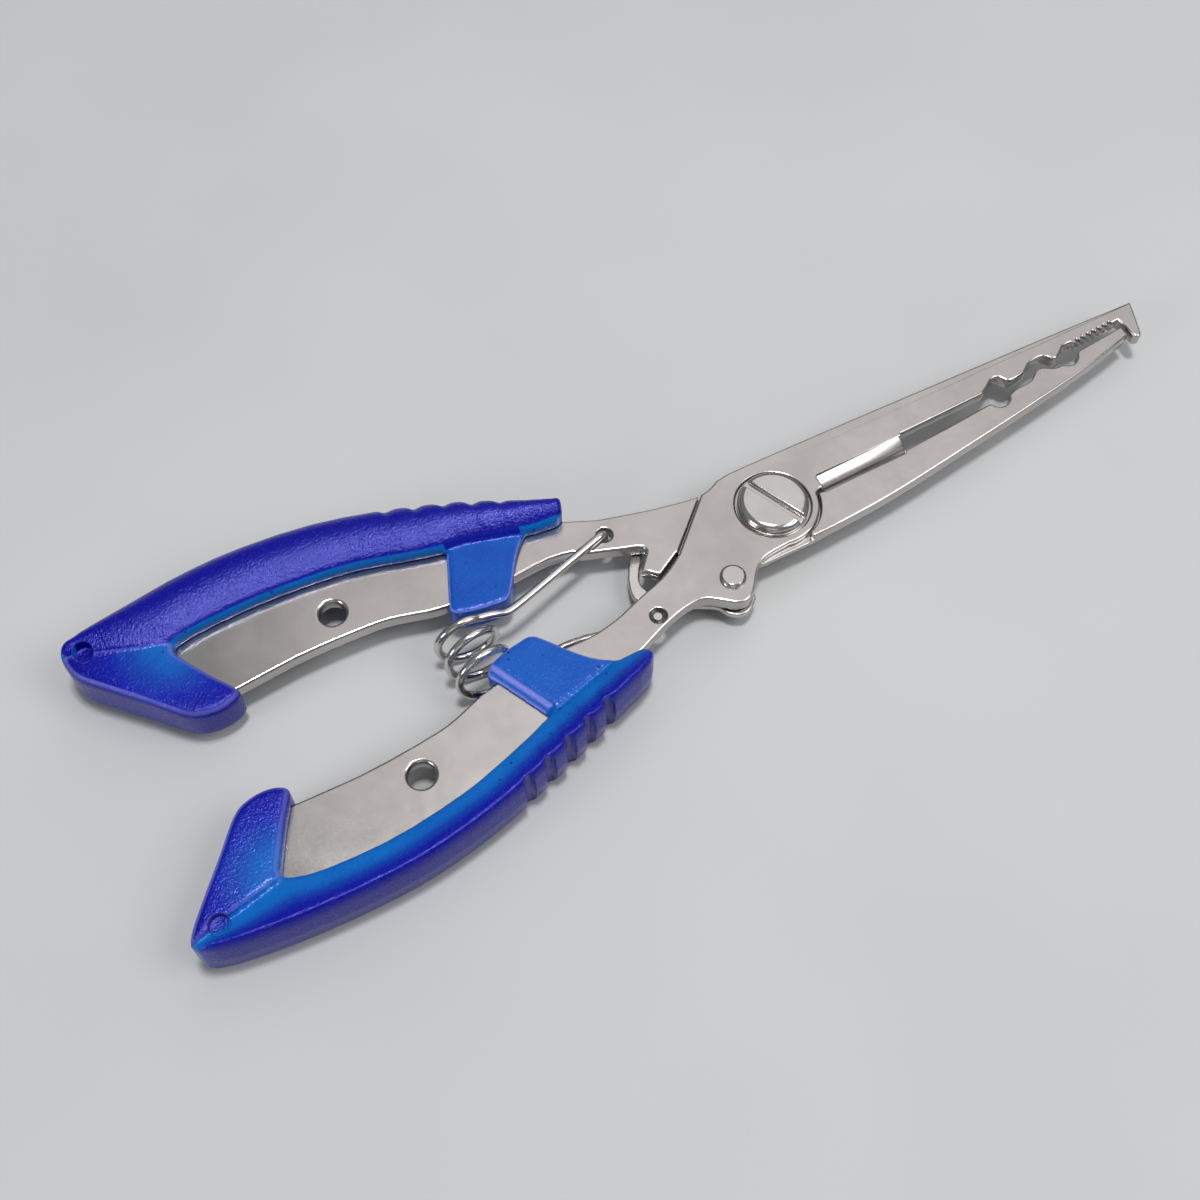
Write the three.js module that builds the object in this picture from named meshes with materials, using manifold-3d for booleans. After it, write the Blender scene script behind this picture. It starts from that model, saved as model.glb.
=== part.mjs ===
// Split-ring fishing pliers: two stamped steel levers crossed in a half-lap joint, a slotted pivot
// screw with its washer and nut, two moulded grips, a return spring and a riveted lock latch.
// Millimetres. +X runs from the pivot to the jaw tips, +Y to the palm handle, and +Z to the face with
// the screw's slot. Shapes are drawn with z = 0 at the middle of the sheet, and the whole group is then
// lifted, so that the origin is the centre of the pivot screw's end face.
import * as THREE from "three";
import { mergeVertices } from "three/addons/utils/BufferGeometryUtils.js";
import Module from "manifold-3d";

const wasm = await Module();
wasm.setup();

// Driving dimensions
const SHEET = 2.2; // thickness of the stamped levers
const HALF = SHEET / 2;
const EDGE = 0.2; // tumbled chamfer round each lever
const GAP = 0.05; // running clearance between stacked faces
const LAP_RADIUS = 6.8; // round end of each lever at the pivot
const LAP_ROOM = 0.3; // room between a round end and the seat it turns in
const WIRE = 0.6; // radius of the spring wire
const BORE = 3.0; // radius of the pivot shank
const HEAD_RADIUS = 5.2;
const HEAD_SEAT = 0.6; // height of the counterbore's floor
const HEAD_TOP = 2.3;
const GRIP_HALF = 4.7; // half the thickness of a grip
const GRIP_ROUND = 0.5;
const NUB_HALF = 2.5; // half the thickness of the low block that carries the spring
const TANG_ROOM = 0.1; // room round a tang inside its grip
const MIDLINE = 1; // the two handles mirror each other about y = MIDLINE

const TANG_HOLE = { x: -63.1, y: 14, radius: 1.9 }; // y is measured from the midline
const SPRING_HOLE = { x: -23.9, palm: 7.5, finger: -7.7, radius: 1.15 };
const RIVET = { x: -11.6, y: -7.6, shank: 1.25, head: 1.9 };
const CUTTER = { start: 8.2, end: 22.9, edge: -0.85, opening: 0.95 };

// Plan outlines: lists of [x, y] joined end to end, counter-clockwise
const vector = ([x, y]) => new THREE.Vector2(x, y);
const smooth = (steps, points) =>
  new THREE.SplineCurve(points.map(vector)).getPoints(steps).map((p) => [p.x, p.y]);
const circle = (x, y, radius, from = 0, to = 360, steps = 32) => {
  const turn = THREE.MathUtils.degToRad;
  const count = to - from === 360 ? steps : steps + 1;
  return Array.from({ length: count }, (_, i) => {
    const angle = turn(from + ((to - from) * i) / steps);
    return [x + radius * Math.cos(angle), y + radius * Math.sin(angle)];
  });
};
const mirrored = (points) => points.map(([x, y]) => [x, 2 * MIDLINE - y]).reverse();
const turned = (points, degrees) => {
  const angle = THREE.MathUtils.degToRad(degrees);
  return points.map((p) => {
    const v = vector(p).rotateAround(new THREE.Vector2(), angle);
    return [v.x, v.y];
  });
};

// Solids
function solid(geometry) {
  const bare = geometry.clone();
  bare.deleteAttribute("normal");
  bare.deleteAttribute("uv");
  const merged = mergeVertices(bare, 1e-4);
  return new wasm.Manifold(
    new wasm.Mesh({
      numProp: 3,
      vertProperties: merged.attributes.position.array,
      triVerts: new Uint32Array(merged.index.array),
    }),
  );
}

function mesh(name, shape, material) {
  const { vertProperties, triVerts } = shape.getMesh();
  const geometry = new THREE.BufferGeometry();
  geometry.setAttribute("position", new THREE.BufferAttribute(vertProperties, 3));
  geometry.setIndex(new THREE.BufferAttribute(triVerts, 1));
  geometry.computeVertexNormals();
  const made = new THREE.Mesh(geometry, material);
  made.name = name;
  return made;
}

// A plate between two heights. `round` is the radius left on its edges, kept inside the outline.
function plate(points, bottom, top, round = 0, segments = 1, grow = 0) {
  const geometry = new THREE.ExtrudeGeometry(new THREE.Shape(points.map(vector)), {
    depth: top - bottom - 2 * round,
    bevelEnabled: round > 0 || grow > 0,
    bevelThickness: round,
    bevelSize: round,
    bevelOffset: grow - round,
    bevelSegments: segments,
  });
  return solid(geometry.translate(0, 0, bottom + round));
}

function cylinder(x, y, radius, bottom, top, sides = 32) {
  const geometry = new THREE.CylinderGeometry(radius, radius, top - bottom, sides);
  geometry.rotateX(Math.PI / 2).translate(x, y, (top + bottom) / 2);
  return solid(geometry);
}

function lathe(x, y, profile, sides = 48) {
  const geometry = new THREE.LatheGeometry(profile.map(vector), sides);
  return solid(geometry.rotateX(Math.PI / 2).translate(x, y, 0));
}

// A through hole with a chamfer on both rims
function chamferedHole(x, y, radius, chamfer = 0.3) {
  return lathe(x, y, [
    [0, -HALF - chamfer],
    [radius + 2 * chamfer, -HALF - chamfer],
    [radius, -HALF + chamfer],
    [radius, HALF - chamfer],
    [radius + 2 * chamfer, HALF + chamfer],
    [0, HALF + chamfer],
  ]);
}

// Lever outlines. Each runs along its lower side from tail to tip and back along its upper side.
const TANG_BACK = smooth(18, [[-89, -19], [-80, -21.4], [-70, -21.9], [-60, -20.7], [-50, -18.1],
  [-40, -14.7], [-33, -12.4], [-28.4, -11.2]]);
const TANG_FRONT = smooth(24, [[-29.4, -5.3], [-33.4, -5.9], [-38, -5.7], [-44, -5.5], [-50.4, -6.3],
  [-55.4, -7.8], [-59.4, -8.5], [-69.4, -9], [-79.4, -8.5], [-85, -8.6], [-88, -11]]);

const PALM_BACK = mirrored(TANG_BACK).map(([x, y]) => [x, y - 0.5]);

// The part of each lever that its grip wraps, with the start of the neck
const FINGER_TANG = [...TANG_BACK, [-24.4, -9.7], [-24.4, -3.8], ...TANG_FRONT];
const PALM_TANG = [...mirrored(TANG_FRONT), [-24.4, 4.9], [-24.4, 10.6], ...PALM_BACK];

function upperJawOutline() {
  return [
    ...TANG_BACK,
    ...smooth(36, [[-24.4, -9.7], [-21.4, -8.8], [-18.6, -8.4], [-16.6, -8.8], [-14.9, -10.1],
      [-13.3, -11.4], [-11.7, -11.7], [-10.2, -10.9], [-8.9, -9.4], [-7.6, -8], [-5.9, -7.05],
      [-4, -6.75]]),
    ...circle(0, 0, LAP_RADIUS, -102, -12, 14),
    [CUTTER.start - 0.7, -1],
    [CUTTER.start, -1],
    [CUTTER.start, 0.9],
    [CUTTER.end + 0.6, 0.9],
    [CUTTER.end + 0.6, 1.25],
    ...upperJawBite(),
    [65.8, 2.5],
    ...smooth(4, [[66.05, 0.8], [65.9, -1.1]]),
    ...smooth(10, [[66.2, -1.6], [66.9, -1.7], [67.4, -1.1], [68.6, 1.5], [69.8, 4.25]]),
    ...smooth(16, [[69.6, 4.4], [56, 5.2], [38, 6.1], [15, 7.2], [0, 7.8], [-3, 7.85]]),
    ...smooth(8, [[-5, 7.6], [-6.6, 6.9], [-8.2, 6.6]]),
    [-15.2, 0.4],
    ...smooth(8, [[-16.2, -0.5], [-19.9, -2.5], [-24.4, -3.8], [-28.4, -5.05]]),
    ...TANG_FRONT,
  ];
}

// Crimp notches, then a row of saw teeth, along the upper jaw's inner edge
function upperJawBite() {
  const teeth = { first: 56.7, last: 65.4, count: 8, low: 2.05, high: 2.5, rise: 0.045 };
  const pitch = (teeth.last - teeth.first) / teeth.count;
  const row = [];
  for (let i = 0; i < teeth.count; i++) {
    const x = teeth.first + i * pitch;
    const lift = teeth.rise * i * pitch;
    row.push([x, teeth.high + lift], [x + 0.35 * pitch, teeth.low + lift]);
  }
  return [
    ...smooth(16, [[38.4, 1.2], [40, 1.9], [41.4, 2.75], [42.6, 2.7], [43.2, 1.6], [44, 1.15],
      [45.6, 1.25], [46.9, 1.5]]),
    ...smooth(20, [[47.7, 2], [48.7, 2.5], [50.6, 2.65], [51.4, 2.2], [52.1, 1.35], [53, 1.3],
      [54.1, 1.9], [55.1, 2.55], [56.2, 2.6]]),
    ...row,
  ];
}

function lowerJawBite() {
  return [
    ...smooth(10, [[65.3, 1.1], [60, 0.8], [56.6, 0.6], [55.8, -0.2], [55, -0.85], [54.1, -1.05]]),
    ...smooth(22, [[53.3, -0.8], [52.5, -0.3], [51.3, -0.2], [50.3, 0.4], [49.4, 0.9], [48.4, 0.75],
      [47.4, 0.1], [46.4, -0.4], [43.6, -0.5], [42.3, -0.9]]),
    ...circle(40.3, -0.5, 1.75, -15, -165, 10),
    [38.2, -0.85],
    [30, -1.3],
    [CUTTER.end - 0.6, -1.6],
  ];
}

function lowerJawOutline() {
  return [
    ...mirrored(TANG_FRONT),
    ...smooth(8, [[-28.3, 6.3], [-25.4, 5.2], [-22.6, 4.1], [-20.9, 3.5]]),
    ...smooth(5, [[-20.1, 3], [-19.9, 2.4], [-20.2, 1.9]]),
    [-22.1, -0.1],
    [-22, -0.5],
    [-20.3, -2.1],
    [-16.4, -0.1],
    [-15.2, -0.9],
    ...smooth(6, [[-8.2, -6.6], [-7.4, -7.1], [-6.2, -7.35]]),
    ...smooth(18, [[1.2, -7.6], [15.2, -7.2], [31.2, -5.6], [46.2, -3.9], [56.2, -2.5], [65.2, -0.75]]),
    ...lowerJawBite(),
    ...turned([[CUTTER.end - 0.9, -1.65], [CUTTER.start, -1.65]], -CUTTER.opening),
    ...circle(0, 0, LAP_RADIUS, -12, 110, 18),
    ...smooth(6, [[-4.4, 5.9], [-6.4, 5.95], [-8.2, 6.55]]),
    ...smooth(10, [[-10.4, 6.8], [-16.4, 8.2], [-23.4, 10.3]]),
    ...PALM_BACK,
  ];
}

// The half lap. Over the lapped area each lever keeps only its own side of the middle plane.
// The step edges run at a slant behind the round ends and stop the jaws from closing past each other.
const SLANT_TOP = [[-6, 8.9], [-16.1, 0.05], [-16.8, -0.4]];

function lapRoom(side) {
  const slant = side > 0 ? SLANT_TOP : [[-16.8, -0.45], [-15.7, -0.9], [-6, -8.4]];
  const outline =
    side > 0
      ? [...slant, [-16.8, -12], [4.2, -12], [-0.6, 0], [-1.2, 8.9]]
      : [...slant, [-1.2, -8.4], [-0.6, 0], [1.2, 12], [-16.8, 12]];
  const [bottom, top] = side > 0 ? [-GAP, HALF + 1] : [-HALF - 1, GAP];
  return plate(outline, bottom, top).add(
    cylinder(0, 0, LAP_RADIUS + LAP_ROOM, bottom, top, 48),
  );
}

// A pinching cutter edge: a wedge that narrows from the jaw's full thickness to the middle plane
function cutterWedge(root, tip) {
  const across = new THREE.Shape([[root, -HALF], [tip, 0], [root, HALF]].map(vector));
  const length = CUTTER.end - CUTTER.start;
  const geometry = new THREE.ExtrudeGeometry(across, { depth: length, bevelEnabled: false });
  geometry.rotateX(Math.PI / 2).rotateZ(Math.PI / 2).translate(CUTTER.start, 0, 0);
  return solid(geometry);
}

function upperJawLever() {
  const pocket = lathe(0, 0, [[0, HEAD_SEAT], [HEAD_RADIUS + 0.4, HEAD_SEAT],
    [HEAD_RADIUS + 0.7, HALF + 1], [0, HALF + 1]]);
  return plate(upperJawOutline(), -HALF, HALF, EDGE)
    .add(cutterWedge(1.2, CUTTER.edge))
    .subtract(lapRoom(-1))
    .subtract(cylinder(0, 0, BORE + 0.1, -3, 3))
    .subtract(pocket)
    .subtract(cylinder(RIVET.x, RIVET.y, RIVET.shank + 0.05, -3, 3, 24))
    .subtract(chamferedHole(TANG_HOLE.x, MIDLINE - TANG_HOLE.y, TANG_HOLE.radius))
    .subtract(chamferedHole(SPRING_HOLE.x, SPRING_HOLE.finger, SPRING_HOLE.radius, 0.15));
}

function lowerJawLever() {
  const wedge = cutterWedge(-2.1, CUTTER.edge - GAP).rotate([0, 0, -CUTTER.opening]);
  return plate(lowerJawOutline(), -HALF, HALF, EDGE)
    .add(wedge)
    .subtract(lapRoom(1))
    .subtract(cylinder(0, 0, BORE + 0.1, -3, 3))
    .subtract(chamferedHole(TANG_HOLE.x, MIDLINE + TANG_HOLE.y, TANG_HOLE.radius))
    .subtract(chamferedHole(SPRING_HOLE.x, SPRING_HOLE.palm, SPRING_HOLE.radius, 0.15));
}

// Pivot fasteners
const WASHER = { radius: 4.8, thickness: 0.4 };
const NUT = { across: 8.5, thickness: 1.7 };
const WASHER_TOP = -HALF - GAP;
const NUT_TOP = WASHER_TOP - WASHER.thickness - GAP;
const SHANK_END = NUT_TOP - NUT.thickness - 0.2;

function pivotScrew() {
  const seat = HEAD_SEAT + GAP;
  const body = lathe(0, 0, [[0, SHANK_END], [BORE - 0.3, SHANK_END], [BORE, SHANK_END + 0.3],
    [BORE, seat], [HEAD_RADIUS, seat], [HEAD_RADIUS, HEAD_TOP - 0.8], [HEAD_RADIUS - 0.2, HEAD_TOP - 0.35],
    [HEAD_RADIUS - 0.55, HEAD_TOP - 0.1], [HEAD_RADIUS - 0.9, HEAD_TOP], [0, HEAD_TOP]], 64);
  const slot = new THREE.BoxGeometry(1.2, 12, 1.4);
  slot.rotateZ(THREE.MathUtils.degToRad(22.3)).translate(0, 0, HEAD_TOP);
  return body.subtract(solid(slot));
}

function pivotNut() {
  const hexagon = circle(0, 0, NUT.across / Math.sqrt(3), 0, 360, 6);
  return plate(hexagon, NUT_TOP - NUT.thickness, NUT_TOP, 0.2)
    .subtract(cylinder(0, 0, BORE + GAP, -9, 9));
}

function ring(x, y, outer, inner, bottom, top) {
  return cylinder(x, y, outer, bottom, top, 40).subtract(cylinder(x, y, inner, bottom - 1, top + 1));
}

// Grip outlines. The band is the thick rim, and the nub the low block that the spring bears on.
const FINGER_RIM = smooth(16, [[-46, -14.6], [-50, -16.2], [-55, -17.6], [-60, -18.7], [-70, -19.7],
  [-80, -19.1], [-84.2, -17.8]]);
const TAIL = smooth(26, [[-84.4, -16.8], [-81.4, -11.5], [-79.1, -7.9], [-79.4, -6.6], [-81.4, -5.8],
  [-84, -5.9], [-86.6, -7.1], [-90.4, -11.4], [-94.6, -16], [-97, -18.8], [-97.8, -20.4]]);
const FINGER_BAND = [
  ...smooth(26, [[-97.2, -21.7], [-94.6, -23], [-88, -24.2], [-80, -25], [-71, -25.3], [-64, -24.8],
    [-56, -23.4], [-48, -21.2], [-40, -18.7], [-34.6, -17], [-31.2, -15.9]]),
  ...smooth(8, [[-29.3, -15], [-28.2, -13.8], [-28.1, -12.6], [-28.8, -11.7]]),
  ...smooth(8, [[-33, -11.4], [-38, -12.6], [-42, -13.6]]),
  ...FINGER_RIM,
  ...TAIL,
];
const PALM_BAND = [
  ...mirrored(TAIL),
  ...smooth(16, [[-84.2, 20.2], [-80, 20.9], [-70, 20.9], [-60, 19.8], [-55, 18.6], [-50, 17],
    [-46, 15.9]]),
  ...smooth(8, [[-42, 15.3], [-38, 14], [-33, 12.4], [-29, 11.8]]),
  ...smooth(28, [[-28, 12.4], [-27.2, 15], [-29.5, 16.5], [-35, 19.7], [-41, 22.8], [-50, 26.4],
    [-60, 29.3], [-71, 30.7], [-80, 30.6], [-88, 29.6], [-95.2, 28.3], [-97.6, 26.4], [-98.2, 24.6]]),
];
const FINGER_NUB = [
  ...smooth(14, [[-31.8, -11.8], [-33.8, -10.7], [-35.7, -9.1], [-37.5, -6.9], [-39.2, -4.4],
    [-40.5, -2.7]]),
  ...smooth(8, [[-41.4, -2.2], [-44, -2.5], [-46.3, -3], [-48.4, -3.7]]),
  [-49, -4.7],
  [-44.1, -15.6],
  [-40, -15],
];

// Five grooves run down the outer wall of each grip, near its front end
const FINGER_GROOVES = { count: 5, x: -51.6, y: -22.75, stepX: 3.6, stepY: 1.22, radius: 0.7 };
const PALM_GROOVES = { count: 5, x: -49.7, y: 26.45, stepX: 3.75, stepY: -1.68, radius: 0.7 };

function grip(band, nub, tang, grooves) {
  const pocket = plate(tang, -HALF - GAP, HALF + GAP, 0.02, 1, TANG_ROOM);
  let body = plate(band, -GRIP_HALF, GRIP_HALF, GRIP_ROUND, 2)
    .add(plate(nub, -NUB_HALF, NUB_HALF, EDGE))
    .subtract(pocket);
  for (let i = 0; i < grooves.count; i++) {
    const x = grooves.x + i * grooves.stepX;
    const y = grooves.y + i * grooves.stepY;
    body = body.subtract(cylinder(x, y, grooves.radius, -GRIP_HALF - 1, GRIP_HALF + 1, 12));
  }
  return body;
}

// Return spring: a coil whose axis lies along Y between the nubs, and an arm hooked in each neck
function springPath() {
  const coil = { x: -48.7, radius: 4.05, left: 3.15, pitch: 3.35, from: 52, to: 985, steps: 60 };
  const rest = HALF + WIRE + GAP;
  const points = [
    [-23.95, 7.45, -0.7],
    [-23.95, 7.45, rest - 0.9],
    [-24.25, 7.37, rest - 0.2],
    [-25.2, 7.1, rest],
    [-41.2, 2.75, rest],
    [-42.5, 2.65, rest + 0.25],
    [-44, 2.9, rest + 1],
  ].map((p) => new THREE.Vector3(...p));
  for (let i = 0; i <= coil.steps; i++) {
    const degrees = coil.from + ((coil.to - coil.from) * i) / coil.steps;
    const angle = THREE.MathUtils.degToRad(degrees);
    points.push(
      new THREE.Vector3(
        coil.x + coil.radius * Math.cos(angle),
        coil.left - (coil.pitch * Math.max(degrees - 180, 0)) / 360,
        coil.radius * Math.sin(angle),
      ),
    );
  }
  const back = [
    [-46.2, -4.5, -3.85],
    [-43.4, -4, -3.4],
    [-40, -3.6, -3.2],
    [-36.4, -3.6, -2.7],
    [-31.6, -4.9, -2],
    [-25.4, -7.2, -rest],
    [-24.35, -7.55, -rest + 0.2],
    [-24, -7.7, -rest + 0.9],
    [-24, -7.7, 0.9],
  ];
  points.push(...back.map((p) => new THREE.Vector3(...p)));
  return new THREE.CatmullRomCurve3(points, false, "centripetal");
}

function returnSpring() {
  const round = new THREE.Shape(circle(0, 0, WIRE, 0, 360, 8).map(vector));
  const geometry = new THREE.ExtrudeGeometry(round, {
    steps: 190,
    bevelEnabled: false,
    extrudePath: springPath(),
  });
  return solid(geometry);
}

// Lock latch: a hooked plate under the finger lever's neck, turning on a rivet
const LATCH_TOP = -HALF - 0.4;
const LATCH_BOTTOM = LATCH_TOP - 1;

function lockLatch() {
  const outline = [
    ...smooth(12, [[-18.2, -7.6], [-15.2, -9.4], [-14.4, -11], [-13, -12.1], [-11.4, -12.1],
      [-9.6, -10.9]]),
    ...circle(RIVET.x, RIVET.y, 3, -40, 70, 8),
    ...smooth(6, [[-14.5, -4.6], [-18.5, -4.2], [-21.2, -3.3]]),
    ...smooth(10, [[-22.4, -2.2], [-22.6, -0.6], [-21.6, 1.3], [-19.4, 4]]),
    ...smooth(4, [[-19.6, 4.9], [-20.6, 4.9]]),
    ...smooth(10, [[-22, 3.4], [-23.7, 0.9], [-24.6, -1.6], [-24.4, -2.8], [-23, -3.9],
      [-20.6, -5.6]]),
  ];
  return plate(outline, LATCH_BOTTOM, LATCH_TOP, 0.1)
    .subtract(cylinder(RIVET.x, RIVET.y, RIVET.shank + GAP, -9, 9, 24));
}

function latchRivet() {
  const foot = LATCH_BOTTOM - GAP;
  const crown = HALF + GAP;
  return lathe(RIVET.x, RIVET.y, [[0, foot - 0.6], [RIVET.head - 0.4, foot - 0.6],
    [RIVET.head, foot - 0.25], [RIVET.head, foot], [RIVET.shank, foot], [RIVET.shank, crown],
    [RIVET.head, crown], [RIVET.head, crown + 0.25], [RIVET.head - 0.4, crown + 0.55],
    [0, crown + 0.55]], 32);
}

// Materials
const finish = (color, roughness, metalness) =>
  new THREE.MeshStandardMaterial({ color, roughness, metalness });
const steel = finish(0xb4ada8, 0.28, 1);
const bright = finish(0xd0ccc8, 0.15, 1);
const blue = finish(0x1526a8, 0.45, 0);

const pliers = new THREE.Group();
pliers.position.z = -SHANK_END;
pliers.add(
  mesh("upper_jaw_lever", upperJawLever(), steel),
  mesh("lower_jaw_lever", lowerJawLever(), steel),
  mesh("pivot_screw", pivotScrew(), bright),
  mesh("pivot_washer", ring(0, 0, WASHER.radius, BORE + GAP, WASHER_TOP - WASHER.thickness, WASHER_TOP),
    bright),
  mesh("pivot_nut", pivotNut(), bright),
  mesh("palm_grip", grip(PALM_BAND, mirrored(FINGER_NUB), PALM_TANG, PALM_GROOVES), blue),
  mesh("finger_grip", grip(FINGER_BAND, FINGER_NUB, FINGER_TANG, FINGER_GROOVES), blue),
  mesh("return_spring", returnSpring(), bright),
  mesh("lock_latch", lockLatch(), steel),
  mesh("latch_washer", ring(RIVET.x, RIVET.y, 2.4, RIVET.shank + GAP, LATCH_TOP + GAP, -HALF - GAP),
    steel),
  mesh("latch_rivet", latchRivet(), bright),
);

export default pliers;
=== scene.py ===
"""Split-ring fishing pliers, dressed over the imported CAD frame.

Blender works in metres and in the frame of the CAD: +X runs to the jaw tips, +Y to the palm handle and
+Z to the face with the screw's slot. The grips are sculpted in millimetres from the middle of the steel
sheet, and brought back to the frame when their skin is done.
"""

import math

import bmesh
import bpy
import numpy as np
from mathutils import Matrix, Vector
from mathutils.bvhtree import BVHTree


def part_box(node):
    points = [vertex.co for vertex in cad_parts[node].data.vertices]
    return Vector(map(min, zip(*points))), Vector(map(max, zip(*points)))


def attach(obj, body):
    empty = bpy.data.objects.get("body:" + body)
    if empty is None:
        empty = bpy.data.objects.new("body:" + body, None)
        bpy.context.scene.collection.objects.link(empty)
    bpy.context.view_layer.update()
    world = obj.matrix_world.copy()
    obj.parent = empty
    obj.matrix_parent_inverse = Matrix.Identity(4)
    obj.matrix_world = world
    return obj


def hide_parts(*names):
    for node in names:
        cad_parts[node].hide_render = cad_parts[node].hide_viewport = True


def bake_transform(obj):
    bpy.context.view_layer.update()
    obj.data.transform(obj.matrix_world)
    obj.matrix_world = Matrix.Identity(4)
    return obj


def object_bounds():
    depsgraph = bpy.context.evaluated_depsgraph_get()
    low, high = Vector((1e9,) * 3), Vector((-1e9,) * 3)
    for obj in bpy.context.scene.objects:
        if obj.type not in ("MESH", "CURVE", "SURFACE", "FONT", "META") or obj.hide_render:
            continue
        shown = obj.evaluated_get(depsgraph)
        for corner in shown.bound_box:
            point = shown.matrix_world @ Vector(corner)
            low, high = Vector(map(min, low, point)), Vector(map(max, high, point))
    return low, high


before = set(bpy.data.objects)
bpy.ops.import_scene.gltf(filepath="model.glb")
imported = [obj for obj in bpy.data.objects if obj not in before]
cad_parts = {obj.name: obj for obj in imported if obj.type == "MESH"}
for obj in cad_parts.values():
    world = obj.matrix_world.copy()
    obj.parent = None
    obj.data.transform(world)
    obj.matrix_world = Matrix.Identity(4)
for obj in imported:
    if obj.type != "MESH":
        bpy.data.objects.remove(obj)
cad_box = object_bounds()

MM = 0.001
WELD = 0.001 * MM  # corners closer than this are one corner
LEVEL = 0.999  # a face whose normal is at least this upright lies level
sheet_low, sheet_high = (corner.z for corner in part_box("lower_jaw_lever"))
MID = (sheet_low + sheet_high) / 2


# ------------------------------------------------------------------ mesh helpers
def link(obj):
    bpy.context.scene.collection.objects.link(obj)
    return obj


def object_from(name, mesh):
    return link(bpy.data.objects.new(name, mesh))


def copy_of_node(node, name):
    """A new object with the CAD node's skin, its corners merged and its stored normals left out."""
    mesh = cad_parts[node].data.copy()
    mesh.materials.clear()
    bm = bmesh.new()
    bm.from_mesh(mesh)
    bmesh.ops.remove_doubles(bm, verts=bm.verts, dist=WELD)
    bm.to_mesh(mesh)
    bm.free()
    for layer in list(mesh.uv_layers):
        mesh.uv_layers.remove(layer)
    if "custom_normal" in mesh.attributes:
        mesh.attributes.remove(mesh.attributes["custom_normal"])
    mesh.name = name
    return object_from(name, mesh)


def apply_modifiers(obj):
    depsgraph = bpy.context.evaluated_depsgraph_get()
    mesh = bpy.data.meshes.new_from_object(obj.evaluated_get(depsgraph))
    obj.modifiers.clear()
    old = obj.data
    obj.data = mesh
    bpy.data.meshes.remove(old)


def shade(obj, sharp_degrees, level_faces_flat=False):
    """Smooth shading, with the edges above that angle kept sharp."""
    mesh = obj.data
    mesh.set_sharp_from_angle(angle=math.radians(sharp_degrees))
    curved = [not level_faces_flat or abs(face.normal.z) < LEVEL for face in mesh.polygons]
    mesh.polygons.foreach_set("use_smooth", curved)


def flatten(obj, degrees):
    """Joins the triangles that lie within that angle of one flat face."""
    bm = bmesh.new()
    bm.from_mesh(obj.data)
    bmesh.ops.dissolve_limit(
        bm, angle_limit=math.radians(degrees), verts=bm.verts, edges=bm.edges
    )
    bm.to_mesh(obj.data)
    bm.free()


def add_bevel(obj, width, segments, degrees):
    """Rounds the edges that turn by more than that angle."""
    bevel = obj.modifiers.new("bevel", "BEVEL")
    bevel.width = width
    bevel.segments = segments
    bevel.limit_method = "ANGLE"
    bevel.angle_limit = math.radians(degrees)
    bevel.use_clamp_overlap = False
    bevel.miter_outer = "MITER_ARC"


def points_of(mesh):
    flat = np.empty(len(mesh.vertices) * 3)
    mesh.vertices.foreach_get("co", flat)
    return flat.reshape(-1, 3)


def set_points(mesh, points):
    mesh.vertices.foreach_set("co", points.ravel())
    mesh.update()


def smoothstep(low, high, x):
    """Climbs smoothly from 0 at `low` to 1 at `high`."""
    t = np.clip((x - low) / (high - low), 0, 1)
    return t * t * (3 - 2 * t)


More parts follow.
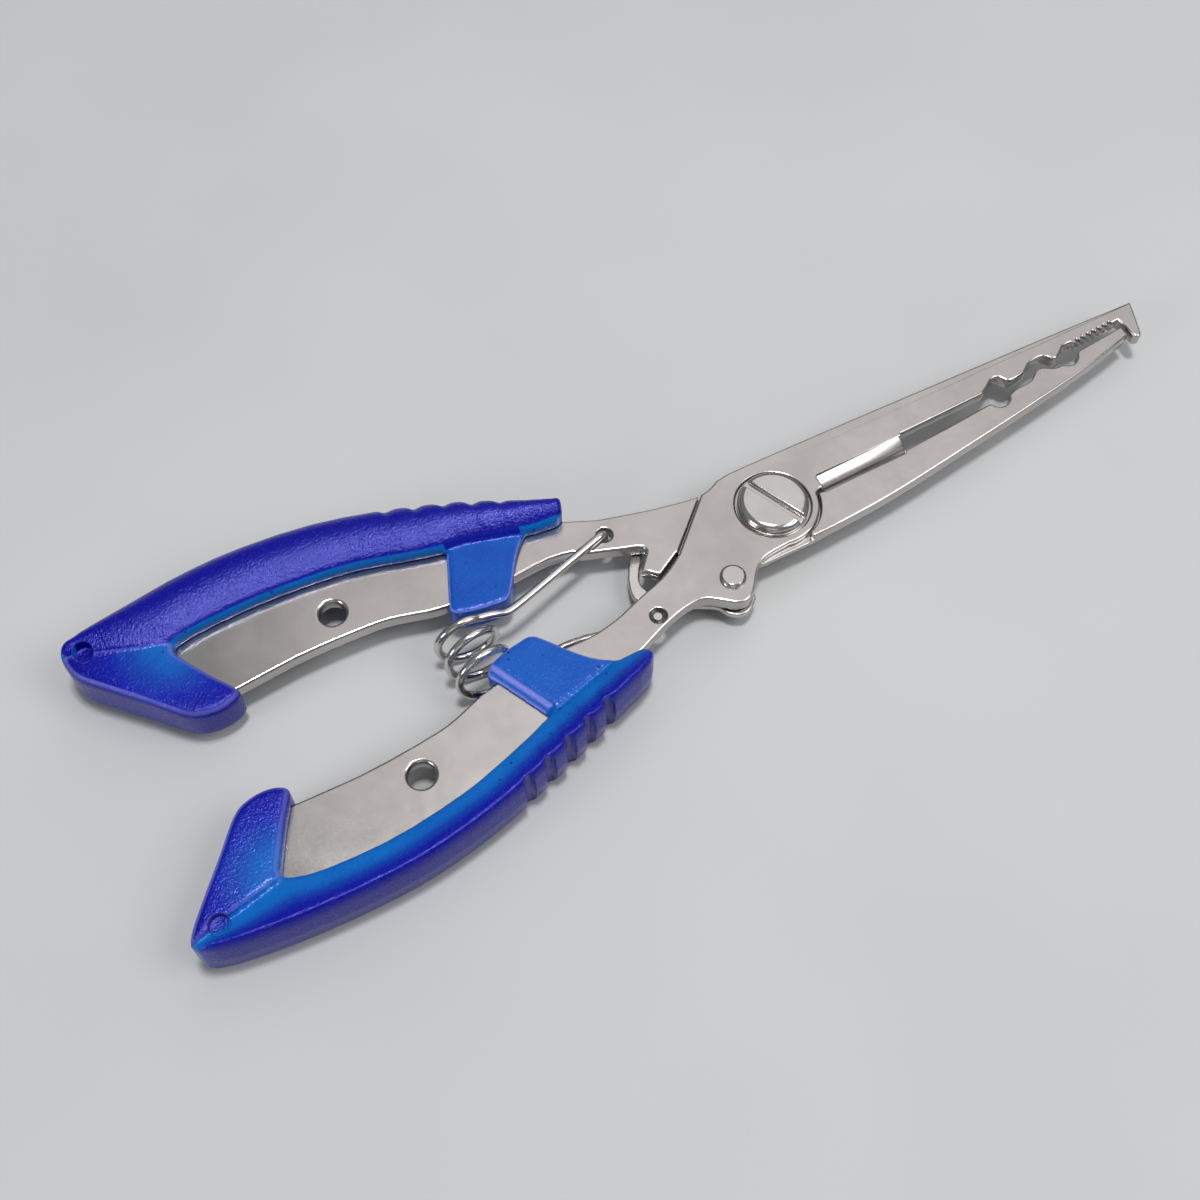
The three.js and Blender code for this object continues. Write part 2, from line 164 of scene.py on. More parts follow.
# ------------------------------------------------------------------ material helpers
class Shader:
    """A node material whose nodes are made and joined in one call each."""

    def __init__(self, name):
        self.material = bpy.data.materials.new(name)
        self.material.use_nodes = True
        self.nodes = self.material.node_tree.nodes
        self.links = self.material.node_tree.links
        self.nodes.clear()
        self.output = self.nodes.new("ShaderNodeOutputMaterial")
        self.bsdf = self.node("ShaderNodeBsdfPrincipled")
        self.links.new(self.bsdf.outputs["BSDF"], self.output.inputs["Surface"])
        self.place = self.node("ShaderNodeTexCoord").outputs["Object"]

    def node(self, kind, **inputs):
        node = self.nodes.new(kind)
        self.feed(node, **inputs)
        return node

    def feed(self, node, **inputs):
        for key, value in inputs.items():
            socket = node.inputs[key.replace("_", " ")]
            if isinstance(value, bpy.types.NodeSocket):
                self.links.new(value, socket)
            else:
                socket.default_value = value

    def noise(self, feature, detail=2.0, roughness=0.5, distortion=0.0, stretch=(1, 1, 1)):
        """Noise whose blobs are about `feature` metres across."""
        mapping = self.node("ShaderNodeMapping", Vector=self.place, Scale=stretch)
        noise = self.node(
            "ShaderNodeTexNoise",
            Vector=mapping.outputs["Vector"],
            Scale=1 / feature,
            Detail=detail,
            Roughness=roughness,
            Distortion=distortion,
        )
        return noise.outputs["Fac"]

    def cells(self, feature):
        """Voronoi cells about `feature` metres across."""
        return self.node("ShaderNodeTexVoronoi", Vector=self.place, Scale=1 / feature)

    def carried(self, name):
        """The value that the mesh carries under that name."""
        node = self.node("ShaderNodeAttribute")
        node.attribute_name = name
        return node.outputs["Fac"]

    def ramp(self, factor, *stops):
        """A colour ramp with stops of (position, colour or grey value)."""
        node = self.node("ShaderNodeValToRGB", Fac=factor)
        elements = node.color_ramp.elements
        while len(elements) < len(stops):
            elements.new(0.5)
        for element, (position, value) in zip(elements, stops):
            element.position = position
            colour = value if isinstance(value, tuple) else (value,) * 3
            element.color = (*colour, 1)
        return node.outputs["Color"]

    def math(self, operation, first, second=0.0):
        node = self.nodes.new("ShaderNodeMath")
        node.operation = operation
        for socket, value in zip(node.inputs, (first, second)):
            if isinstance(value, bpy.types.NodeSocket):
                self.links.new(value, socket)
            else:
                socket.default_value = value
        return node.outputs["Value"]

    def mix(self, factor, first, second, blend="MIX"):
        node = self.nodes.new("ShaderNodeMix")
        node.data_type = "RGBA"
        node.blend_type = blend
        sockets = [s for s in node.inputs if s.enabled]
        for socket, value in zip(sockets, (factor, first, second)):
            if isinstance(value, bpy.types.NodeSocket):
                self.links.new(value, socket)
            else:
                socket.default_value = (*value, 1) if isinstance(value, tuple) else value
        return next(s for s in node.outputs if s.enabled)

    def bump(self, height, strength, distance, normal=None):
        node = self.node("ShaderNodeBump", Height=height, Strength=strength, Distance=distance)
        if normal is not None:
            self.feed(node, Normal=normal)
        return node.outputs["Normal"]

    def rounded(self, radius):
        """A normal that rounds sharp edges by that radius."""
        node = self.node("ShaderNodeBevel", Radius=radius)
        node.samples = 4
        return node.outputs["Normal"]


def steel(name, dark, light, smooth, rough, grain=0.25, edge=0.1 * MM):
    """Stainless steel with tumbled grain, faint clouds in its polish and softened edges.

    Its colour lies between `dark` and `light`, and its roughness between `smooth` and `rough`.
    """
    s = Shader(name)
    clouds = s.noise(9 * MM, detail=3, roughness=0.6, distortion=0.4)
    fine = s.noise(0.35 * MM, detail=4, roughness=0.7)
    streaks = s.noise(1.4 * MM, detail=3, roughness=0.6, stretch=(0.12, 1, 1))
    colour = s.ramp(clouds, (0.3, dark), (0.7, light))
    colour = s.mix(0.12, colour, s.ramp(streaks, (0.35, dark), (0.65, light)), "MULTIPLY")
    cloudy = s.ramp(clouds, (0.3, smooth), (0.72, rough))
    grainy = s.ramp(fine, (0.3, smooth), (0.7, rough))
    polish = s.mix(0.5, cloudy, grainy)
    normal = s.rounded(edge)
    waves = s.noise(16 * MM, detail=1)
    normal = s.bump(waves, 0.12, 0.3 * MM, normal)
    normal = s.bump(streaks, 0.05, 0.02 * MM, normal)
    normal = s.bump(fine, grain, 0.006 * MM, normal)
    s.feed(s.bsdf, Base_Color=colour, Metallic=1.0, Roughness=polish, Normal=normal)
    return s.material


PALE_SAND = (0.07, 0.09, 0.6)
# Painted highlight along the rounded edges of the nub and the tail.
PAINTED_HIGHLIGHT_BLUE = (0.26, 0.28, 0.78)
# Painted shade inside a few small pits.
PIT_SHADE_BLUE = (0.001, 0.002, 0.05)


def blue_by_thickness(s, thin):
    """Deep blue where the wall is thick, azure where it is thin, with faint clouds."""
    cloud = s.noise(5 * MM, detail=3, roughness=0.6)
    thinness = s.math("ADD", thin, s.math("MULTIPLY", s.math("SUBTRACT", cloud, 0.5), 0.22))
    return s.ramp(
        thinness,
        (0.0, (0.0005, 0.0005, 0.23)),
        (0.35, (0.0005, 0.008, 0.3)),
        (0.7, (0.0005, 0.045, 0.33)),
        (1.0, (0.0005, 0.125, 0.45)),
    )


def painted_pit_shade(s, thin):
    """A few small pits, painted dark with their shade, only where the wall is thin."""
    specks = s.cells(1.4 * MM)
    pit = s.ramp(specks.outputs["Distance"], (0.12, 0.8), (0.17, 0.0))
    chosen = s.ramp(specks.outputs["Color"], (0.62, 0.0), (0.66, 1.0))
    where_thin = s.ramp(thin, (0.78, 0.0), (0.84, 1.0))
    return s.math("MULTIPLY", s.math("MULTIPLY", pit, chosen), where_thin)


def sandblasted(s, thin, sand):
    """The mould's texture: soft waves, grains, and sand that fades where the wall is thin."""
    waves = s.noise(3.2 * MM, detail=2)
    grains = s.cells(0.42 * MM)
    sand_strength = s.ramp(thin, (0.6, 0.7), (0.8, 0.3))
    normal = s.bump(waves, 0.25, 0.1 * MM, s.rounded(0.12 * MM))
    normal = s.bump(grains.outputs["Distance"], 0.45, 0.065 * MM, normal)
    return s.bump(sand, sand_strength, 0.12 * MM, normal)


def grip_plastic():
    """Translucent moulded plastic, frosted by sand, with a painted highlight on its edges and the
    painted shade of a few small pits.
    """
    s = Shader("grip_plastic_blue")
    thin = s.carried("thin")
    sand = s.noise(0.38 * MM, detail=3, roughness=0.65)
    frost = s.math("MULTIPLY", s.ramp(sand, (0.55, 0.0), (0.8, 1.0)), 0.16)
    colour = s.mix(frost, blue_by_thickness(s, thin), PALE_SAND)
    # Painted highlight on the rounded edges of the nub and the tail.
    colour = s.mix(s.carried("painted_edge_highlight"), colour, PAINTED_HIGHLIGHT_BLUE)
    # Painted shade in a few small pits.
    colour = s.mix(painted_pit_shade(s, thin), colour, PIT_SHADE_BLUE)
    s.feed(
        s.bsdf,
        Base_Color=colour,
        Roughness=s.ramp(sand, (0.3, 0.16), (0.7, 0.3)),
        IOR=1.46,
        Specular_IOR_Level=0.8,
        Specular_Tint=(0.34, 0.36, 1.0, 1.0),
        Subsurface_Weight=0.15,
        Subsurface_Radius=(0.05, 0.25, 1.0),
        Subsurface_Scale=1.4 * MM,
        Normal=sandblasted(s, thin, sand),
    )
    return s.material


def paint(obj, material):
    obj.data.materials.clear()
    obj.data.materials.append(material)


# ------------------------------------------------------------------ the grips
# Millimetres from the middle of the sheet. A height is half a thickness: both faces are alike.
CREST = (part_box("palm_grip")[1].z - MID) / MM
SHEET_HALF = (sheet_high - MID) / MM
TANG_FACE = SHEET_HALF + 0.3  # below this a grip's skin lies on the tang and is left as it is
RIM = 3.3  # height of the band at its inner rim
NUB_TOP = 2.5  # height of the nub that carries the spring
WALL_LEVEL = CREST - 0.9  # here a grip's walls are still upright, below the rounding of its top
NUB_LEVEL = NUB_TOP - 0.4
BAND_EDGE = -0.2  # the band is all that lies further out than this from its inner rim
DRAFT = 0.1  # how far a moulded wall leans in, per millimetre of height
LEAN_REACH = 3.0  # the lean fades out this far inside the outer wall
FIRST_SKIN = 0.3  # voxel of the skin that is bent to shape
SKIN = 0.23  # voxel of the finished skin
NUB_START = -60.0  # forward of this, what lies inside the band is the nub
TAIL_END = -78.0  # behind this, it is the tail
PALM_NUB_ROOT = (-45.0, -34.6)  # stretch of the palm band that the nub stands on
BAND_ROLL = 0.7  # radius of the rounding along the band's edges
TAIL_ROLL = 1.1
NUB_ROLL = 0.45
NUB_EDGE = -0.9  # the nub's edges with the painted highlight start this far inside the band's rim
MARK_FLOOR = 2.9  # height of the ejector marks' floor
MARK_RADIUS = 1.4
GROOVE_RADIUS = 0.95
GROOVE_OUT = 0.4  # how far outside the wall a finger groove has its centre
GROOVES = 5


def skin_object(node, name):
    """The CAD grip in millimetres from the middle of the sheet."""
    obj = copy_of_node(node, name)
    points = points_of(obj.data)
    points[:, 2] -= MID
    set_points(obj.data, points / MM)
    return obj


def remesh(obj, size):
    modifier = obj.modifiers.new("skin", "REMESH")
    modifier.mode = "VOXEL"
    modifier.voxel_size = size
    apply_modifiers(obj)


def smooth(obj, times):
    bm = bmesh.new()
    bm.from_mesh(obj.data)
    for _ in range(times):
        bmesh.ops.smooth_vert(
            bm, verts=bm.verts, factor=0.5, use_axis_x=True, use_axis_y=True, use_axis_z=True
        )
    bm.to_mesh(obj.data)
    bm.free()


def slice_outline(mesh, height):
    """The plan outline of the mesh at that height, as segments (n, 2, 2)."""
    bm = bmesh.new()
    bm.from_mesh(mesh)
    cut = bmesh.ops.bisect_plane(
        bm,
        geom=bm.verts[:] + bm.edges[:] + bm.faces[:],
        plane_co=(0, 0, height),
        plane_no=(0, 0, 1),
    )["geom_cut"]
    edges = [e for e in cut if isinstance(e, bmesh.types.BMEdge)]
    segments = np.array([[v.co[:2] for v in e.verts] for e in edges])
    bm.free()
    return segments


def distance_to(segments, points, block=4000):
    """Plan distance from each point to the nearest segment."""
    start = segments[:, 0]
    along = segments[:, 1] - start
    length = np.maximum((along**2).sum(1), 1e-12)
    result = np.empty(len(points))
    for first in range(0, len(points), block):
        offset = points[first : first + block, None, :2] - start
        t = np.clip((offset * along).sum(2) / length, 0, 1)
        gap = offset - t[..., None] * along
        result[first : first + block] = np.sqrt((gap**2).sum(2).min(1))
    return result


def closed(values, reach):
    """A grey closing: dips narrower than the window are filled, slopes stay."""
    pad = np.pad(values, reach, mode="edge")
    window = np.lib.stride_tricks.sliding_window_view
    high = window(pad, 2 * reach + 1).max(1)
    pad = np.pad(high, reach, mode="edge")
    return window(pad, 2 * reach + 1).min(1)


def steady(values):
    """A running median, which drops a ray that slipped through an edge."""
    pad = np.pad(values, 2, mode="edge")
    return np.median(np.lib.stride_tricks.sliding_window_view(pad, 5), axis=1)


class Plan:
    """The band of one grip in plan: its outer wall and its inner rim as curves over x."""

    RAY_STEP = 0.3
    END_MARGIN = 0.8  # the rays keep this far from both ends
    FAR_OUT = 60.0
    PAST_WALL = 0.02
    GROOVE_REACH = 6  # rays to either side over which the finger grooves are filled
    ROUND_FRONT = 4.0  # length of the rounded front end
    STRAIGHT_FRONT = 9.0  # from here to the rounded end the band runs straight

    def __init__(self, mesh, side, dimple):
        tree = BVHTree.FromPolygons(
            [v.co.copy() for v in mesh.vertices], [tuple(p.vertices) for p in mesh.polygons]
        )
        low, high = points_of(mesh).min(0), points_of(mesh).max(0)
        self.front = high[0]
        self.side = side
        self.x = np.arange(low[0] + self.END_MARGIN, high[0] - self.END_MARGIN, self.RAY_STEP)
        walls, rims = self.measured(tree)
        self.wall = closed(steady(walls), self.GROOVE_REACH)
        self.rim = steady(rims)
        for curve in (self.wall, self.rim):
            self.run_on(curve)
        self.corner = self.window_corner()
        self.run_to_dimple(dimple)

    def measured(self, tree):
        """Where rays from outside meet the outer wall, and then the inner rim."""
        inward = Vector((0, -self.side, 0))
        walls = []
        rims = []
        for x in self.x:
            wall = tree.ray_cast(Vector((x, self.side * self.FAR_OUT, WALL_LEVEL)), inward)[0]
            rim = tree.ray_cast(wall + inward * self.PAST_WALL, inward)[0]
            walls.append(wall.y * self.side)
            rims.append(rim.y * self.side)
        return np.array(walls), np.array(rims)

    def window_corner(self):
        """The corner between the band and the tail, just forward of the rim's biggest jump."""
        jump = np.abs(np.diff(self.rim))
        corner = int(np.argmax(jump)) + 2
        return self.x[corner], self.rim[corner]

    def run_to_dimple(self, dimple):
        """Behind the window's corner the rim runs straight to the tail's dimple."""
        corner_x, corner_y = self.corner
        dimple_y = dimple[1] * self.side
        tail = self.x < corner_x
        run = (self.x[tail] - dimple[0]) / (corner_x - dimple[0])
        self.rim[tail] = dimple_y + run * (corner_y - dimple_y)

    def run_on(self, curve):
        """Carries a curve straight on through the rounded front end."""
        end = self.x > self.front - self.ROUND_FRONT
        body = (self.x > self.front - self.STRAIGHT_FRONT) & ~end
        curve[end] = np.polyval(np.polyfit(self.x[body], curve[body], 1), self.x[end])

    def inside(self, points):
        """Distance of each point from the inner rim, towards the outer wall."""
        return points[:, 1] * self.side - np.interp(points[:, 0], self.x, self.rim)

    def outside(self, points):
        """Distance of each point from the outer wall."""
        return np.interp(points[:, 0], self.x, self.wall) - points[:, 1] * self.side

    def tail_glow(self, points):
        """How thin the tail is: most in the corner between the band and the window."""
        across = points[:, 1] * self.side - self.corner[1]
        gap = np.hypot(points[:, 0] - self.corner[0], across)
        return 0.9 * (1 - smoothstep(2.5, 13, gap))


def dome(height, base, distance, reach):
    """A quarter ellipse that climbs from `base` at the wall to `height` at `reach` from it."""
    t = 1 - np.clip(distance / reach, 0, 1)
    return base + (height - base) * np.sqrt(np.maximum(1 - t * t, 0))


def rolled(height, edge, radius):
    """The height, rolled down over the last `radius` before the edge."""
    return dome(height, height - radius, edge, radius)


def palm_section(x, inner, outer):
    """Height of the palm grip's band: a broad crown that rolls over the outer wall."""
    width = np.maximum(inner + outer, 1)
    rim = RIM + 0.9 * smoothstep(-82, -92, x)  # higher towards the tail
    climb = np.minimum(6.2, 0.6 * width)  # from the rim up to the crest
    roll = np.minimum(4.2, 0.45 * width)  # from the crest down to the outer wall
    wall_top = 1.7
    rise = rim + (CREST - rim) * np.sin(np.clip(inner / climb, 0, 1) * math.pi / 2)
    return np.minimum(rise, dome(CREST, wall_top, outer, roll))


def finger_section(x, inner, outer):
    """Height of the finger grip's band: a slope up to a crest close to a steep outer wall."""
    rim = RIM - 0.8 * smoothstep(-51, -46, x)  # lower beside the nub
    slope_width = np.maximum(inner + outer - 0.7, 1)
    hollow = 1.15  # above 1, the slope is a little hollow
    wall_top = 3.6
    slope = rim + (CREST - 0.15 - rim) * np.clip(inner / slope_width, 0, 1) ** hollow
    return np.minimum(slope, dome(CREST - 0.1, wall_top, outer, 0.9))


def tail_height(x, plan, heights):
    """The tail's height runs from the first value at the window to the second behind it."""
    near, far = heights
    corner_x = plan.corner[0]
    return near + (far - near) * smoothstep(corner_x + 3, corner_x - 9, x)


def squeezed(up, foot, target):
    """Presses what stands above `foot`, up to the crest, down to the target height."""
    foot = np.minimum(foot, target - 0.05)
    lift = (up - foot) / (CREST - foot)
    return np.where(up > foot, foot + lift * (target - foot), up)


def stepped_chamfer(points, plan):
    """Height of the finger nub by its window-side edge, which has a chamfer in two steps."""
    start = np.array([-49.0, 4.7])
    end = np.array([-44.1, 15.6])
    along = (end - start) / np.linalg.norm(end - start)
    offset = np.stack([points[:, 0], points[:, 1] * plan.side], 1) - start
    across = offset[:, 0] * along[1] - offset[:, 1] * along[0]
    foot = 1.25
    step = 0.5
    ledge_end = 0.95
    upper_step = np.clip(across - ledge_end, 0, NUB_TOP - foot - step)
    return foot + np.clip(across, 0, step) + upper_step


def sculpt(obj, plan, section, tail_heights, chamfered):
    """Gives the straight-walled CAD grip its moulded section."""
    ring = slice_outline(obj.data, WALL_LEVEL)
    nub_ring = slice_outline(obj.data, NUB_LEVEL)
    remesh(obj, FIRST_SKIN)
    points = points_of(obj.data)
    x = points[:, 0]
    up = np.abs(points[:, 2])
    inner = plan.inside(points)
    outer = plan.outside(points)
    edge = distance_to(ring, points)
    in_band = inner > BAND_EDGE
    in_tail = ~in_band & (x < TAIL_END)
    in_nub = ~in_band & (x > NUB_START)

    band = rolled(section(x, inner, outer), edge, BAND_ROLL)
    tail = rolled(tail_height(x, plan, tail_heights), edge, TAIL_ROLL)
    foot = np.where(in_tail, TANG_FACE, NUB_TOP - 1.2 * smoothstep(1, 3, inner))
    moulded = squeezed(up, foot, np.where(in_tail, tail, band))

    nub = rolled(NUB_TOP, distance_to(nub_ring, points), NUB_ROLL)
    if chamfered:
        nub = np.minimum(nub, stepped_chamfer(points, plan))
    nub = np.where(up > TANG_FACE, np.minimum(up, nub), up)
    height = np.where(in_nub & (up < NUB_TOP + 0.15), nub, moulded)
    points[:, 2] = np.sign(points[:, 2]) * height

    # Both halves of the mould have draft, so the outer walls lean in from the parting plane.
    lean = DRAFT * np.abs(points[:, 2]) * np.clip(1 - outer / LEAN_REACH, 0, 1)
    points[:, 1] -= plan.side * np.where(in_nub, 0, lean)
    set_points(obj.data, points)
    remesh(obj, SKIN)
    smooth(obj, 3)


def thin_by_part(points, plan, band, nub):
    """Puts the values of the band, the nub and the tail together."""
    inside = np.where(points[:, 0] > NUB_START, nub, plan.tail_glow(points))
    return np.where(plan.inside(points) > BAND_EDGE, band, inside)


def thin_of_palm(points, up, plan):
    """The palm grip is thin at its band's inner wall, but less where that carries the nub."""
    inner = plan.inside(points)
    wall = (1 - smoothstep(0.6, 0.85, up)) * (1 - smoothstep(0.8, 1.2, inner))
    root_start, root_end = PALM_NUB_ROOT
    at_root = (points[:, 0] > root_start) & (points[:, 0] < root_end)
    return thin_by_part(points, plan, wall * np.where(at_root, 0.25, 1), nub=0.8)


def thin_of_finger(points, up, plan):
    """The finger grip thins from its crest to its rim."""
    inner = plan.inside(points)
    width = np.maximum(inner + plan.outside(points), 1)
    slope = 0.95 * (1 - smoothstep(0.25, 0.95, inner / width))
    return thin_by_part(points, plan, slope, nub=0.84)


def painted_edge_highlight_of(points, up, plan):
    """How strongly the rounded edges of the nub and the tail get a painted highlight."""
    rounding = smoothstep(0.35, 0.6, up) * (1 - smoothstep(0.82, 0.95, up))
    inner = plan.inside(points)
    in_nub = (inner < NUB_EDGE) & (points[:, 0] > NUB_START)
    in_tail = (inner < BAND_EDGE) & (points[:, 0] < TAIL_END)
    return rounding * np.where(in_nub, 0.6, np.where(in_tail, 0.28, 0))


def crosses(edge, height):
    """Whether the edge runs from below that height to above it."""
    first, second = (vertex.co.z < height for vertex in edge.verts)
    return first != second


def add_pin(bm, x, y, low, high, radius, rounding=0.0):
    """An upright pin for a cut, with its rims rounded."""
    middle = (low + high) / 2
    made = bmesh.ops.create_cone(
        bm,
        cap_ends=True,
        segments=32,
        radius1=radius,
        radius2=radius,
        depth=high - low,
        matrix=Matrix.Translation((x, y, middle)),
    )["verts"]
    if rounding:
        edges = {edge for vertex in made for edge in vertex.link_edges}
        rims = [edge for edge in edges if not crosses(edge, middle)]
        bmesh.ops.bevel(bm, geom=rims, offset=rounding, segments=3, affect="EDGES", profile=0.5)


def cut_marks(obj, plan, dimple, grooves):
    """Sinks an ejector mark into both faces of the tail, and the finger grooves into the outer wall."""
    bm = bmesh.new()
    mark_top = MARK_FLOOR + 4
    mark_rounding = 0.25
    add_pin(bm, *dimple, MARK_FLOOR, mark_top, MARK_RADIUS, mark_rounding)
    add_pin(bm, *dimple, -mark_top, -MARK_FLOOR, MARK_RADIUS, mark_rounding)
    first, pitch = grooves
    above = CREST + 1
    for i in range(GROOVES):
        x = first + i * pitch
        wall = np.interp(x, plan.x, plan.wall)
        add_pin(bm, x, plan.side * (wall + GROOVE_OUT), -above, above, GROOVE_RADIUS)
    whole = bm.verts[:] + bm.edges[:] + bm.faces[:]
    bmesh.ops.bisect_plane(bm, geom=whole, plane_co=(0, 0, 0), plane_no=(0, 0, 1))
    for vertex in bm.verts:
        if vertex.co.x > NUB_START:
            vertex.co.y -= plan.side * DRAFT * abs(vertex.co.z)
    pins = object_from(obj.name + "_pins", bpy.data.meshes.new("pins"))
    bm.to_mesh(pins.data)
    bm.free()
    cut = obj.modifiers.new("marks", "BOOLEAN")
    cut.operation = "DIFFERENCE"
    cut.solver = "EXACT"
    cut.object = pins
    apply_modifiers(obj)
    bpy.data.objects.remove(pins)


def carry(mesh, name, values):
    """Gives the mesh a value at each point, for its material to read."""
    attribute = mesh.attributes.new(name, "FLOAT", "POINT")
    attribute.data.foreach_set("value", values)


def finish_grip(obj, plan, thin, material):
    """Works out where the grip is thin and where its edges get a painted highlight, and brings it back
    to the frame.
    """
    points = points_of(obj.data)
    normals = np.empty(len(points) * 3)
    obj.data.vertex_normals.foreach_get("vector", normals)
    up = np.abs(normals.reshape(-1, 3)[:, 2])
    carry(obj.data, "thin", np.clip(thin(points, up, plan), 0, 1))
    # Painted highlight along the rounded edges of the nub and the tail, for the material to read.
    carry(obj.data, "painted_edge_highlight", painted_edge_highlight_of(points, up, plan))
    points *= MM
    points[:, 2] += MID
    set_points(obj.data, points)
    shade(obj, 55)
    paint(obj, material)


def build_grip(node, body, side, dimple, section, thin, tail_heights, grooves, material):
    """One moulded grip, on the palm's side (1) or the fingers' side (-1)."""
    obj = skin_object(node, node + "_skin")
    plan = Plan(obj.data, side, dimple)
    sculpt(obj, plan, section, tail_heights, chamfered=side < 0)
    cut_marks(obj, plan, dimple, grooves)
    finish_grip(obj, plan, thin, material)
    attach(obj, body)
    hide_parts(node)


def build_grips():
    """Both grips. Their grooves are given by the first one's x and their pitch."""
    blue = grip_plastic()
    palm_low, palm_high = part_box("palm_grip")
    finger_low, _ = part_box("finger_grip")
    build_grip(
        "palm_grip",
        "palm_lever",
        side=1,
        dimple=(palm_low.x / MM + 3.1, palm_high.y / MM - 6.6),
        section=palm_section,
        thin=thin_of_palm,
        tail_heights=(3.2, 3.8),
        grooves=(-49.7, 3.75),
        material=blue,
    )
    build_grip(
        "finger_grip",
        "finger_lever",
        side=-1,
        dimple=(finger_low.x / MM + 4.2, finger_low.y / MM + 5.5),
        section=finger_section,
        thin=thin_of_finger,
        tail_heights=(3.9, 4.2),
        grooves=(-51.6, 3.6),
        material=blue,
    )


# ------------------------------------------------------------------ the steel pieces
def dress(node, body, metal, edge, segments=2, turn=40, sharp=32, join=0.05):
    """The CAD node's skin in metal, with its edges rounded by `edge` millimetres.

    `turn`, `sharp` and `join` are degrees: edges that turn by more than `turn` are rounded, those
    still above `sharp` are drawn sharp, and faces within `join` of each other become one.
    """
    obj = copy_of_node(node, node + "_skin")
    flatten(obj, join)
    add_bevel(obj, edge * MM, segments, turn)
    apply_modifiers(obj)
    shade(obj, sharp, level_faces_flat=True)
    paint(obj, metal)
    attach(obj, body)
    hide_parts(node)


def build_levers():
    tumbled = steel("lever_steel_tumbled", (0.49, 0.465, 0.45), (0.58, 0.555, 0.54), 0.17, 0.27)
    dress("upper_jaw_lever", "finger_lever", tumbled, edge=0.13)
    dress("lower_jaw_lever", "palm_lever", tumbled, edge=0.13)


def build_fasteners():
    turned = steel(
        "fastener_steel_turned", (0.58, 0.56, 0.54), (0.68, 0.66, 0.64), 0.13, 0.24, grain=0.12
    )
    edges = {
        "pivot_screw": 0.1,
        "pivot_nut": 0.12,
        "pivot_washer": 0.06,
        "latch_rivet": 0.06,
        "latch_washer": 0.06,
    }
    for node, edge in edges.items():
        dress(
            node, "finger_lever", turned, edge,
            segments=3, turn=50, sharp=40, join=0.5,
        )


def build_latch():
    pressed = steel("latch_steel_pressed", (0.56, 0.54, 0.52), (0.66, 0.64, 0.62), 0.18, 0.3)
    dress("lock_latch", "latch", pressed, edge=0.1)


WIRE = 0.6  # radius of the spring's wire, in millimetres
COIL_PITCH = 3.35


def spring_path():
    """The wire's centre line, in millimetres from the middle of the sheet: arm, coil and arm."""
    low, high = (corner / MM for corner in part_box("return_spring"))
    radius = (high.z - low.z) / 2 - WIRE
    gap = 0.05
    rest = SHEET_HALF + WIRE + gap
    hook = high.x - WIRE
    upper = high.y - WIRE
    lower = low.y + WIRE
    coil_x = low.x + WIRE + radius
    points = [
        (hook, upper, -0.7),
        (hook, upper, rest - 0.9),
        (hook - 0.3, upper - 0.08, rest - 0.2),
        (hook - 1.25, upper - 0.35, rest),
        (hook - 9.3, upper - 2.53, rest),
        (hook - 17.25, upper - 4.7, rest),
        (hook - 18.55, upper - 4.8, rest + 0.25),
        (hook - 20.05, upper - 4.55, rest + 1),
    ]
    coil_top = upper - 4.3
    first_angle = 52
    last_angle = 985
    level_until = 180
    steps = 75
    for i in range(steps + 1):
        degrees = first_angle + (last_angle - first_angle) * i / steps
        angle = math.radians(degrees)
        y = coil_top - COIL_PITCH * max(degrees - level_until, 0) / 360
        points.append((coil_x + radius * math.cos(angle), y, radius * math.sin(angle)))
    points += [
        (hook - 22.25, lower + 3.2, -3.85),
        (hook - 19.45, lower + 3.7, -3.4),
        (hook - 16.05, lower + 4.1, -3.2),
        (hook - 12.45, lower + 4.1, -2.7),
        (hook - 7.65, lower + 2.8, -2),
        (hook - 1.45, lower + 0.5, -rest),
        (hook - 0.4, lower + 0.15, 0.2 - rest),
        (hook - 0.05, lower, 0.9 - rest),
        (hook - 0.05, lower, 0.9),
    ]
    return points


def wire_object(name, points, radius):
    """Round wire along a smooth path, as a mesh."""
    curve = bpy.data.curves.new(name, "CURVE")
    curve.dimensions = "3D"
    curve.bevel_depth = radius * MM
    curve.bevel_resolution = 5
    curve.resolution_u = 5
    curve.use_fill_caps = True
    spline = curve.splines.new("NURBS")
    spline.points.add(len(points) - 1)
    for point, (x, y, z) in zip(spline.points, points):
        point.co = (x * MM, y * MM, z * MM + MID, 1)
    spline.order_u = 3
    spline.use_endpoint_u = True
    drawn = object_from(name + "_curve", curve)
    depsgraph = bpy.context.evaluated_depsgraph_get()
    mesh = bpy.data.meshes.new_from_object(drawn.evaluated_get(depsgraph))
    bpy.data.objects.remove(drawn)
    obj = object_from(name, mesh)
    shade(obj, 60)
    return obj


def build_spring():
    """The CAD's eight-sided wire as round wire, bent between its two holes."""
    drawn = steel(
        "spring_wire_drawn",
        (0.62, 0.60, 0.58),
        (0.72, 0.70, 0.68),
        0.1,
        0.2,
        grain=0.08,
        edge=0.02 * MM,
    )
    path = spring_path()
    obj = wire_object("return_spring_wire", path, WIRE)
    paint(obj, drawn)
    # The wire takes its centre line's points while its transform is baked, then gets its own round
    # points back.
    hair = WIRE / 1000
    line = wire_object("return_spring_line", path, hair)
    rounded = points_of(obj.data)
    set_points(obj.data, points_of(line.data))
    bpy.data.objects.remove(line)
    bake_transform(obj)
    set_points(obj.data, rounded)
    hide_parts("return_spring")


# ------------------------------------------------------------------ stage, light and camera
LIGHT_DISTANCE = 0.75
WHITE = (1.0, 1.0, 1.0)
COOL = (0.96, 0.98, 1.0)


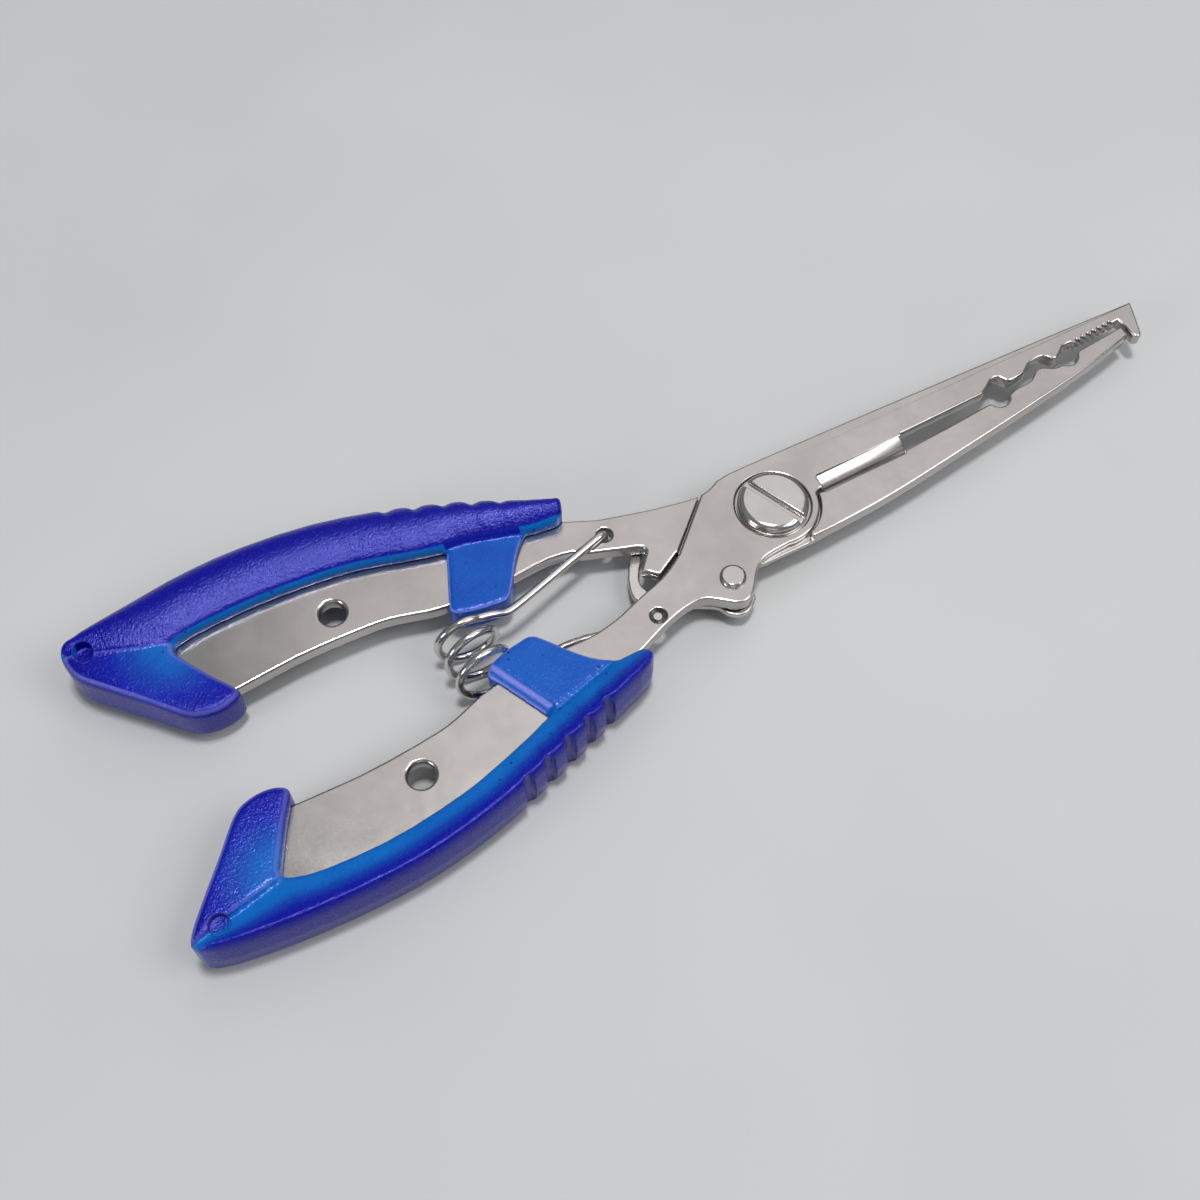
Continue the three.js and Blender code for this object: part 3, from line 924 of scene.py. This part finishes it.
def backdrop():
    """A pale floor that curves up far behind the object."""
    floor_z = cad_box[0].z - 0.02 * MM
    half_size = 1.6
    level_radius = 0.8
    curl = 0.6
    bm = bmesh.new()
    bmesh.ops.create_grid(bm, x_segments=40, y_segments=40, size=half_size)
    for vertex in bm.verts:
        far = max(0.0, vertex.co.length - level_radius)
        vertex.co.z = floor_z + curl * far * far
    mesh = bpy.data.meshes.new("floor")
    bm.to_mesh(mesh)
    bm.free()
    obj = object_from("floor", mesh)
    shade(obj, 60)
    s = Shader("pale_floor")
    clouds = s.noise(60 * MM, detail=2)
    tone = s.ramp(clouds, (0.3, (0.46, 0.465, 0.47)), (0.7, (0.49, 0.495, 0.5)))
    s.feed(s.bsdf, Base_Color=tone, Roughness=0.75)
    paint(obj, s.material)


def softbox(name, direction, size, watts, colour):
    """A square softbox that faces the object's middle from that direction."""
    data = bpy.data.lights.new(name, "AREA")
    data.shape = "SQUARE"
    data.size = size
    data.energy = watts
    data.color = colour
    centre = (cad_box[0] + cad_box[1]) / 2
    position = centre + Vector(direction).normalized() * LIGHT_DISTANCE
    obj = link(bpy.data.objects.new(name, data))
    obj.location = position
    obj.rotation_euler = (centre - position).to_track_quat("-Z", "Y").to_euler()


def studio():
    """Soft studio light. The reflector and the front box stand where the steel mirrors them."""
    world = bpy.data.worlds.new("studio")
    world.use_nodes = True
    background = world.node_tree.nodes["Background"]
    background.inputs["Color"].default_value = (0.92, 0.95, 1.0, 1)
    background.inputs["Strength"].default_value = 0.24
    bpy.context.scene.world = world
    softbox("reflector", (0.47, 0.4, 0.785), 0.72, 1.08, (1.0, 0.97, 0.955))
    softbox("key", (0, 0, 1), 0.12, 3.3, (1.0, 0.99, 0.98))
    softbox("front", (0.47, -0.45, 0.76), 0.4, 1.9, WHITE)
    softbox("left", (-0.93, -0.1, 0.36), 0.22, 1.1, COOL)
    softbox("fill", (-0.436, -0.768, 0.469), 0.35, 0.2, COOL)
    bpy.context.scene.view_settings.view_transform = "Standard"


def camera():
    """The photograph's view: 30 degrees round to the left, looking 60 degrees down."""
    target = Vector((-29.72 * MM, -1.57 * MM, sheet_high))
    azimuth = math.radians(-29.6)
    elevation = math.radians(60)
    distance = 209.4 * MM
    level = math.cos(elevation)
    back = Vector((math.sin(azimuth) * level, -math.cos(azimuth) * level, math.sin(elevation)))
    data = bpy.data.cameras.new("camera")
    data.lens = 45
    data.sensor_width = 36
    data.clip_start = 0.005
    data.clip_end = 10
    obj = link(bpy.data.objects.new("camera", data))
    obj.location = target + back * distance
    obj.rotation_euler = (-back).to_track_quat("-Z", "Y").to_euler()
    bpy.context.scene.camera = obj


build_levers()
build_fasteners()
build_latch()
build_spring()
build_grips()
backdrop()
studio()
camera()
